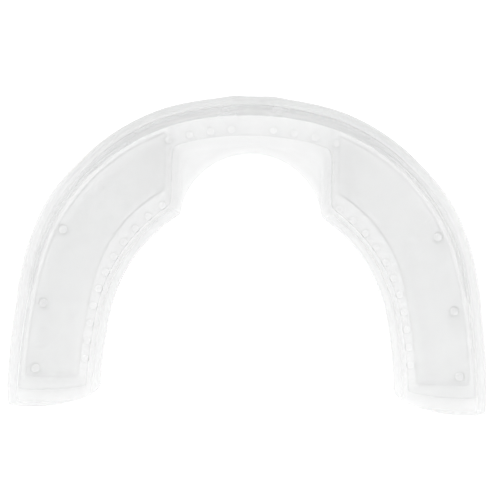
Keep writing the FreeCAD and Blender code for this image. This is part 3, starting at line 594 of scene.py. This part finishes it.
def inset(outline, depth):
    """A closed outline moved into the material, which lies on its left, by a depth."""
    points = np.array(outline)
    along = np.roll(points, -1, axis=0) - points
    along /= np.linalg.norm(along, axis=1)[:, None]
    normals = np.stack([-along[:, 1], along[:, 0]], axis=1)
    halfway = normals + np.roll(normals, 1, axis=0)
    halfway *= (2 / (halfway ** 2).sum(axis=1))[:, None]
    return points + depth * halfway


def turned(outline, left):
    """The outline's points in the order that keeps the material on the left."""
    points = np.array(outline)
    following = np.roll(points, -1, axis=0)
    area = (points[:, 0] * following[:, 1] - following[:, 0] * points[:, 1]).sum()
    return points if (area > 0) == left else points[::-1]


# A plate's outline is sampled at this step, and its corners are blurred by this many roundings.
OUTLINE_STEP, CORNER_BLUR = 0.4, 2.4
FRAME_ROUNDING, PAD_ROUNDING = 0.12, 0.15


def plate(name, outlines, low, high, rounding, material):
    """A flat plate with rounded edges: the first outline is its edge and the others are its holes."""
    shape = bmesh.new()
    rims = [[], []]
    edge = softened(outlines[0], OUTLINE_STEP, CORNER_BLUR * rounding)
    for outline in [turned(edge, True)] + [turned(hole, False) for hole in outlines[1:]]:
        rings = []
        for turn in (0, 45, 90):
            aside = rounding * (1 - math.sin(math.radians(turn)))
            down = rounding * (1 - math.cos(math.radians(turn)))
            rings.append((aside, high - down))
        rings += [(aside, high + low - height) for aside, height in rings[::-1]]
        rows = []
        for aside, height in rings:
            rows.append([shape.verts.new((x * MM, y * MM, height * MM)) for x, y in inset(outline, aside)])
        for upper, lower in zip(rows, rows[1:]):
            for step in range(len(upper)):
                before = upper[step - 1], lower[step - 1]
                shape.faces.new((before[0], upper[step], lower[step], before[1])).smooth = True
        for rim, row in zip(rims, (rows[0], rows[-1])):
            rim += [shape.edges.get((row[step - 1], row[step])) for step in range(len(row))]
    for rim in rims:
        bmesh.ops.triangle_fill(shape, edges=rim, use_beauty=True)
    return finished(name, shape, material)


def make_frame(material):
    """The perforated frame between the web and the liner."""
    holes = [circle(place, HOLE_RADIUS) for place in both_sides(hole_places())]
    holes += [circle(place, PEG_RADIUS + GAP) for place in both_sides(PEG_PLACES)]
    piece = plate("perforated_frame", [layer_outline()] + holes, FRAME_LOW + GAP, FRAME_HIGH - GAP,
                  FRAME_ROUNDING, material)
    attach(piece, "root")
    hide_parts("shock_frame")


# Samples of a pad's long side between two ribs.
SIDE_SAMPLES = 20


def pad_side(distance):
    """A long side of the right pad, sampled finely and cut square in front and at the rear."""
    points = np.array([plan(index, distance) for index in range(len(RUNS))])
    places = np.linspace(0, len(RUNS) - 1, SIDE_SAMPLES * len(RUNS))
    x, y = (np.interp(places, np.arange(len(RUNS)), points[:, axis]) for axis in (0, 1))
    kept = (x > PAD_FRONT_HALF + PAD_GAP) & (y > PAD_REAR + PAD_GAP)
    return list(zip(x[kept], y[kept]))


def pad_outline():
    """A right pad's outline: an even band beside the wall, square in front and at the rear."""
    tongue_side = pad_side(PAD_WALL_OFFSET + PAD_WIDTH - PAD_GAP)
    return pad_side(PAD_WALL_OFFSET + PAD_GAP) + tongue_side[::-1]


def make_pads(material):
    """The two molar cushions under the frame."""
    right = pad_outline()
    for side, word in ((-1, "left"), (1, "right")):
        outlines = [[(side * x, y) for x, y in right]]
        outlines += [circle((side * x, y), PEG_RADIUS + GAP) for x, y in PEG_PLACES]
        piece = plate("molar_pad_" + word, outlines, PAD_LOW + GAP, PAD_HIGH - GAP, PAD_ROUNDING, material)
        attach(piece, "root")
        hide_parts("bite_pad_" + word)


# A stud's rim: the share of the radius at its ends, its depth, and the angle that shades as an edge.
STUD_TAPER, STUD_BEVEL, SHARP_ANGLE = 0.8, 0.08, math.radians(50)
# How far a peg reaches down into the tray.
PEG_SINK = 0.1


def studs(name, places, radius, low, high, material):
    """Short round studs with softened rims, all in one piece."""
    vertices, faces = [], []
    levels = ((STUD_TAPER, low), (1.0, low + STUD_BEVEL), (1.0, high - STUD_BEVEL), (STUD_TAPER, high))
    for centre in places:
        start = len(vertices)
        for share, height in levels:
            vertices += [(x, y, height) for x, y in circle(centre, radius * share)]
        for row in range(len(levels) - 1):
            for step in range(CIRCLE_POINTS):
                following = (step + 1) % CIRCLE_POINTS
                a, b = start + row * CIRCLE_POINTS + step, start + row * CIRCLE_POINTS + following
                faces.append((a, b, b + CIRCLE_POINTS, a + CIRCLE_POINTS))
        lowest, highest = start, start + (len(levels) - 1) * CIRCLE_POINTS
        faces.append(tuple(range(lowest, lowest + CIRCLE_POINTS))[::-1])
        faces.append(tuple(range(highest, highest + CIRCLE_POINTS)))
    piece = add_object(name, vertices, faces, material)
    piece.data.set_sharp_from_angle(angle=SHARP_ANGLE)
    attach(piece, "root")


def make_pegs(material):
    """The locating pegs that stand on the tray and pass through the pads and the frame."""
    studs("locating_pegs", both_sides(PEG_PLACES), PEG_RADIUS - GAP, PAD_LOW - PEG_SINK, FRAME_HIGH,
          material)


def make_buttons(material):
    """The liner's buttons, one in each round hole of the frame."""
    studs("liner_buttons", both_sides(hole_places()), HOLE_RADIUS - GAP, FRAME_LOW + GAP, FRAME_HIGH,
          material)


# The liner's rounded edges, as steps inward and upward from its ends and its two faces, and the even
# stretches between them.
LINER_LOW = FRAME_HIGH + GAP
LINER_THICK = LINER_HIGH - LINER_LOW
LINER_WALL_GAP, LINER_FOOT_GAP = 0.06, 0.12
LINER_UNDER_WALL = (0.0, LINER_THICK + 0.35), (0.05, 0.12)
LINER_OVER_WALL = (0.12, 0.42), (0.45, 0.12)
LINER_UNDER_FOOT = (0.0, 0.06), (0.05, 0.16)
LINER_OVER_FOOT = (-0.5, 0.62 * LINER_THICK), (-0.1, 0.34 * LINER_THICK)
LINER_UNDER_INSET, LINER_OVER_NEAR, LINER_OVER_FAR, LINER_ROWS = 0.3, 1.0, 1.1, 13
# The top sinks toward the tongue side, from this share of its width on.
LINER_SINK, LINER_SINK_START = 0.2, 0.75


def liner_section(index):
    """The liner's underside and top on one rib, with a small rise where it meets the labial wall."""
    near, far = WALL + LINER_WALL_GAP, FOOT[index] - LINER_FOOT_GAP
    under, over = corner(near, LINER_LOW, LINER_UNDER_WALL), corner(near, LINER_HIGH, LINER_OVER_WALL)
    for t in np.linspace(0, 1, LINER_ROWS):
        under.append((mix(near + LINER_UNDER_INSET, far - LINER_UNDER_INSET, t), LINER_LOW))
        over.append((mix(near + LINER_OVER_NEAR, far - LINER_OVER_FAR, t),
                     LINER_HIGH - LINER_SINK * smooth(LINER_SINK_START, 1.0, t)))
    under += corner(far, LINER_LOW, LINER_UNDER_FOOT)
    over += corner(far, LINER_LOW, LINER_OVER_FOOT)
    return under, over


def make_liner(material):
    """The soft fitting layer over the frame."""
    rings = mirrored_ribs(LAYER_LAST + 1, liner_section)
    piece = add_object("fitting_liner", *skin_mesh(rings), material)
    subdivide(piece)
    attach(piece, "root")
    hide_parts("fit_liner")


# The shock band: how far it stays below the rim and above the liner, its rear ends' height and share
# of the thickness, and the offsets from the rear over which it thickens and rises.
BAND_THICKNESS, BAND_DROP, BAND_LOW, BAND_ROWS = 0.7, 1.6, LINER_HIGH + 0.48, 9
BAND_END_HEIGHT, BAND_END_SHARE = 2.0, 0.35
BAND_THICKENING, BAND_RISING = (0.0, 2.5), (-0.6, 1.6)
# Its gap to the wall, then its rounded edges: on the wall side, and on the channel side as a share of
# the thickness, a drop at the top, and the even stretch's distances from the top and from the foot.
BAND_WALL_GAP, BAND_WALL_ROUND = 0.04, 0.12
BAND_LIP_SHARE, BAND_LIP_DROP, BAND_TOP_ROUND, BAND_FOOT_ROUND = 0.6, 0.05, 0.35, 0.2
# The band's painted shade in front, where the tall front wall looks darker from above, how far the painted
# light and shade beside the frenum moves it, and that pattern: painted shade at the middle and a painted
# highlight on each side, where the notch's sides catch the light.
BAND_SHADE, FRENUM_PAINTED_SWING, BAND_FADE = 0.60, 0.15, (8.0, 18.0)
FRENUM_SHADE_WIDTH, FRENUM_HIGHLIGHT_SHARE, FRENUM_HIGHLIGHT_HALF, FRENUM_HIGHLIGHT_WIDTH = 1.3, 0.8, 3.6, 1.5


def band_section(index):
    """The shock band's wall side and channel side on one rib; it thins to its rear ends."""
    x, y = plan(index, 0.0)
    thick = BAND_THICKNESS * mix(BAND_END_SHARE, 1.0, past(BAND_REAR, BAND_THICKENING, y))
    high = mix(BAND_LOW + BAND_END_HEIGHT, rim_height(x, y) - BAND_DROP, past(BAND_REAR, BAND_RISING, y))
    wall_side = [(WALL + BAND_WALL_ROUND, high)]
    channel_side = [(WALL + thick * BAND_LIP_SHARE, high - BAND_LIP_DROP)]
    for t in np.linspace(0, 1, BAND_ROWS):
        wall_side.append((WALL + BAND_WALL_GAP, mix(high - BAND_WALL_ROUND, BAND_LOW + BAND_WALL_ROUND, t)))
        channel_side.append((WALL + thick, mix(high - BAND_TOP_ROUND, BAND_LOW + BAND_FOOT_ROUND, t)))
    wall_side.append((WALL + BAND_WALL_ROUND, BAND_LOW))
    channel_side.append((WALL + thick * BAND_LIP_SHARE, BAND_LOW))
    return wall_side, channel_side


def band_painted_shade(x, y):
    """Painted shade on the band, darkest in front, with painted shade at the frenum and a painted highlight
    on each side of it.
    """
    # Painted shade at the frenum, minus a painted highlight on each side of it.
    frenum_light_and_shade = hump(x, 0.0, FRENUM_SHADE_WIDTH) - FRENUM_HIGHLIGHT_SHARE * hump(abs(x), FRENUM_HIGHLIGHT_HALF, FRENUM_HIGHLIGHT_WIDTH)
    return float((BAND_SHADE + FRENUM_PAINTED_SWING * frenum_light_and_shade) * smooth(*BAND_FADE, y))


def make_band(material):
    """The cushion strip inside the labial wall."""
    last = next(index for index in range(len(RUNS)) if plan(index, 0.0)[1] < BAND_REAR)
    rings = mirrored_ribs(last + 1, band_section)
    piece = add_object("labial_band", *skin_mesh(rings), material)
    add_painted_shade(piece, [band_painted_shade(x, y) for ring in rings for x, y, z in ring])
    subdivide(piece)
    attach(piece, "root")
    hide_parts("labial_shock_band")


# ---------------------------------------------------------------------------------------------
# Materials
# ---------------------------------------------------------------------------------------------
# Noise scales per metre, how far the noise moves the cloudiness and the roughness, the duller end of
# the tint, the noises' detail, and the depth of the moulded grain in metres.
CLOUD_SCALE, GLOSS_SCALE, GRAIN_SCALE = 220.0, 900.0, 2600.0
CLOUD_SWING, GLOSS_SWING, DULL_TINT = 0.07, 0.15, 0.97
FINE_DETAIL, COARSE_DETAIL, GRAIN_DEPTH = 4.0, 3.0, 0.00006


def shader_of(name):
    """A new material and its Principled shader."""
    material = bpy.data.materials.new(name)
    material.use_nodes = True
    return material, material.node_tree.nodes["Principled BSDF"]


def noise(tree, scale, detail):
    """Noise in the object's own space, at a scale per metre."""
    place = tree.nodes.new("ShaderNodeTexCoord")
    texture = tree.nodes.new("ShaderNodeTexNoise")
    texture.inputs["Scale"].default_value = scale
    texture.inputs["Detail"].default_value = detail
    tree.links.new(place.outputs["Object"], texture.inputs["Vector"])
    return texture.outputs["Fac"]


def spread(tree, source, low, high, start=0.3, end=0.7, kind="SMOOTHSTEP"):
    """A source between start and end, turned into a value between low and high.

    Unless told otherwise the source is a noise, which mostly lies between 0.3 and 0.7."""
    ramp = tree.nodes.new("ShaderNodeMapRange")
    ramp.interpolation_type = kind
    for socket, value in (("From Min", start), ("From Max", end), ("To Min", low), ("To Max", high)):
        if isinstance(value, float):
            ramp.inputs[socket].default_value = value
        else:
            tree.links.new(value, ramp.inputs[socket])
    tree.links.new(source, ramp.inputs["Value"])
    return ramp.outputs["Result"]


def blend(tree, factor, first, second):
    """A mix of two colours, each a tuple or a socket."""
    mixer = tree.nodes.new("ShaderNodeMix")
    mixer.data_type = "RGBA"
    tree.links.new(factor, mixer.inputs["Factor"])
    # The colour sockets A, B and Result share their names with others, so they go by their numbers.
    for socket, value in ((mixer.inputs[6], first), (mixer.inputs[7], second)):
        if isinstance(value, tuple):
            socket.default_value = (*value, 1)
        else:
            tree.links.new(value, socket)
    return mixer.outputs[2]


def frosted(name, tint, cloudiness, density, roughness=0.45, grain=0.15, shaded=None):
    """Frosted EVA: a cloudy skin that lets light straight through, a moulded grain, a faintly grey body.

    shaded gives the tint and the cloudiness that the skin has where the mesh's painted shade is 1."""
    material, shader = shader_of(name)
    tree = material.node_tree
    cloud = noise(tree, CLOUD_SCALE, FINE_DETAIL)

    def clouded(amount):
        return spread(tree, cloud, amount * (1 - CLOUD_SWING), amount * (1 + CLOUD_SWING))

    dull = tuple(channel * DULL_TINT for channel in tint)
    colour = blend(tree, spread(tree, cloud, 0.0, 1.0), dull, tint)
    skin = clouded(cloudiness)
    if shaded:
        shade = tree.nodes.new("ShaderNodeAttribute")
        shade.attribute_name = "shade"
        skin = spread(tree, shade.outputs["Fac"], skin, clouded(shaded[1]), 0.0, 1.0, "LINEAR")
        colour = blend(tree, shade.outputs["Fac"], colour, shaded[0])
    low, high = roughness * (1 - GLOSS_SWING), roughness * (1 + GLOSS_SWING)
    gloss = spread(tree, noise(tree, GLOSS_SCALE, COARSE_DETAIL), low, high)
    bump = tree.nodes.new("ShaderNodeBump")
    bump.inputs["Strength"].default_value = grain
    bump.inputs["Distance"].default_value = GRAIN_DEPTH
    for source, socket in ((colour, shader.inputs["Base Color"]), (skin, shader.inputs["Alpha"]),
                           (gloss, shader.inputs["Roughness"]),
                           (noise(tree, GRAIN_SCALE, FINE_DETAIL), bump.inputs["Height"]),
                           (bump.outputs["Normal"], shader.inputs["Normal"])):
        tree.links.new(source, socket)
    if density:
        absorb = tree.nodes.new("ShaderNodeVolumeAbsorption")
        absorb.inputs["Color"].default_value = (0.0, 0.0, 0.0, 1)
        absorb.inputs["Density"].default_value = density
        tree.links.new(absorb.outputs["Volume"], tree.nodes["Material Output"].inputs["Volume"])
    return material


# ---------------------------------------------------------------------------------------------
# Camera, light and floor
# ---------------------------------------------------------------------------------------------
# The world's strength at the horizon and from this height upward, and in a narrow bright band where the
# floor ends, so that no edge shows there. Heights are sines of the angle above the horizon.
HORIZON_LIGHT, OVERHEAD_LIGHT, OVERHEAD_HEIGHT = 0.85, 1.12, 0.75
FLOOR_EDGE_LIGHT, BAND_FULL_HEIGHT, BAND_END = 1.05, 0.02, 0.08
# A large soft key light: its power in watts, its size and its place in metres.
KEY_POWER, KEY_SIZE, KEY_PLACE = 0.4, 0.6, (-0.5, 0.5, 0.9)
# Light passes up to 20 skins, so it needs more bounces than usual.
LIGHT_BOUNCES, DIFFUSE_BOUNCES = 40, 16
# The floor: half its width and its level in metres, its tone and its faint glow.
FLOOR_HALF, FLOOR_LEVEL, FLOOR_TONE, FLOOR_GLOW = 2.0, -0.0002, 0.94, 0.18
FLOOR_NOISE_SCALE, FLOOR_ROUGHNESS = 60.0, (0.85, 0.95)


def make_camera():
    """Almost straight down from behind the guard, with a long lens, turned a little clockwise."""
    distance, elevation, roll = 0.600, math.radians(86.0), math.radians(1.2)
    aim = Vector((0.0, 0.0010, 0.0040))
    data = bpy.data.cameras.new("camera")
    data.sensor_width = 36.0
    data.lens = 307.0
    camera = bpy.data.objects.new("camera", data)
    bpy.context.scene.collection.objects.link(camera)
    back = Vector((0.0, -math.cos(elevation), math.sin(elevation)))
    right = Vector((1.0, 0.0, 0.0))
    up = back.cross(right)
    basis = Matrix((right, up, back)).transposed() @ Matrix.Rotation(roll, 3, "Z")
    camera.matrix_world = Matrix.Translation(aim + back * distance) @ basis.to_4x4()
    bpy.context.scene.camera = camera


def make_floor():
    """A plain pale floor just below the guard."""
    mesh = bpy.data.meshes.new("floor")
    corners = [(x * FLOOR_HALF, y * FLOOR_HALF, FLOOR_LEVEL) for x, y in ((-1, -1), (1, -1), (1, 1), (-1, 1))]
    mesh.from_pydata(corners, [], [(0, 1, 2, 3)])
    floor = bpy.data.objects.new("floor", mesh)
    bpy.context.scene.collection.objects.link(floor)
    material, shader = shader_of("floor_white")
    tree = material.node_tree
    shader.inputs["Base Color"].default_value = (FLOOR_TONE, FLOOR_TONE, FLOOR_TONE, 1)
    roughness = spread(tree, noise(tree, FLOOR_NOISE_SCALE, COARSE_DETAIL), *FLOOR_ROUGHNESS)
    tree.links.new(roughness, shader.inputs["Roughness"])
    shader.inputs["Emission Color"].default_value = (1, 1, 1, 1)
    shader.inputs["Emission Strength"].default_value = FLOOR_GLOW
    mesh.materials.append(material)


def make_light():
    """A white studio dome, brighter overhead than at the horizon, and one large soft key light."""
    scene = bpy.context.scene
    world = bpy.data.worlds.new("studio")
    scene.world = world
    world.use_nodes = True
    tree = world.node_tree
    direction = tree.nodes.new("ShaderNodeTexCoord")
    split = tree.nodes.new("ShaderNodeSeparateXYZ")
    tree.links.new(direction.outputs["Generated"], split.inputs["Vector"])
    height = split.outputs["Z"]
    brighter = tree.nodes.new("ShaderNodeMath")
    brighter.operation = "MAXIMUM"
    dome = spread(tree, height, HORIZON_LIGHT, OVERHEAD_LIGHT, 0.0, OVERHEAD_HEIGHT)
    edge = spread(tree, height, FLOOR_EDGE_LIGHT, 0.0, BAND_FULL_HEIGHT, BAND_END)
    tree.links.new(dome, brighter.inputs[0])
    tree.links.new(edge, brighter.inputs[1])
    tree.links.new(brighter.outputs["Value"], tree.nodes["Background"].inputs["Strength"])
    tree.nodes["Background"].inputs["Color"].default_value = (1, 1, 1, 1)
    lamp = bpy.data.lights.new("key", "AREA")
    lamp.size = KEY_SIZE
    lamp.energy = KEY_POWER
    key = bpy.data.objects.new("key", lamp)
    scene.collection.objects.link(key)
    key.location = KEY_PLACE
    key.rotation_euler = key.location.to_track_quat("Z", "Y").to_euler()
    scene.view_settings.view_transform = "Standard"
    scene.cycles.max_bounces = scene.cycles.transparent_max_bounces = LIGHT_BOUNCES
    scene.cycles.diffuse_bounces = DIFFUSE_BOUNCES


make_camera()
make_floor()
make_light()
# The tray's shaded end is painted shade: a darker tint and a cloudier skin where a vertex's painted shade is
# 1.
make_tray(frosted("clear_eva", (0.92, 0.925, 0.925), cloudiness=0.05, density=9.0,
                  shaded=((0.68, 0.685, 0.685), 0.72)))
make_pads(frosted("pad_eva", (0.90, 0.905, 0.905), cloudiness=0.03, density=15.0))
make_frame(frosted("frame_eva", (0.92, 0.925, 0.925), cloudiness=0.09, density=3.0))
make_liner(frosted("liner_eva", (0.95, 0.955, 0.955), cloudiness=0.05, density=5.0, roughness=0.40))
stud_material = frosted("button_eva", (0.97, 0.97, 0.97), cloudiness=0.02, density=0.0, roughness=0.35,
                        grain=0.1)
make_buttons(stud_material)
make_pegs(stud_material)
# The band's shaded end is painted shade: a darker tint and a cloudier skin where a vertex's painted shade is
# 1.
make_band(frosted("band_eva", (0.90, 0.905, 0.905), cloudiness=0.05, density=11.0,
                  shaded=((0.75, 0.755, 0.755), 0.50)))
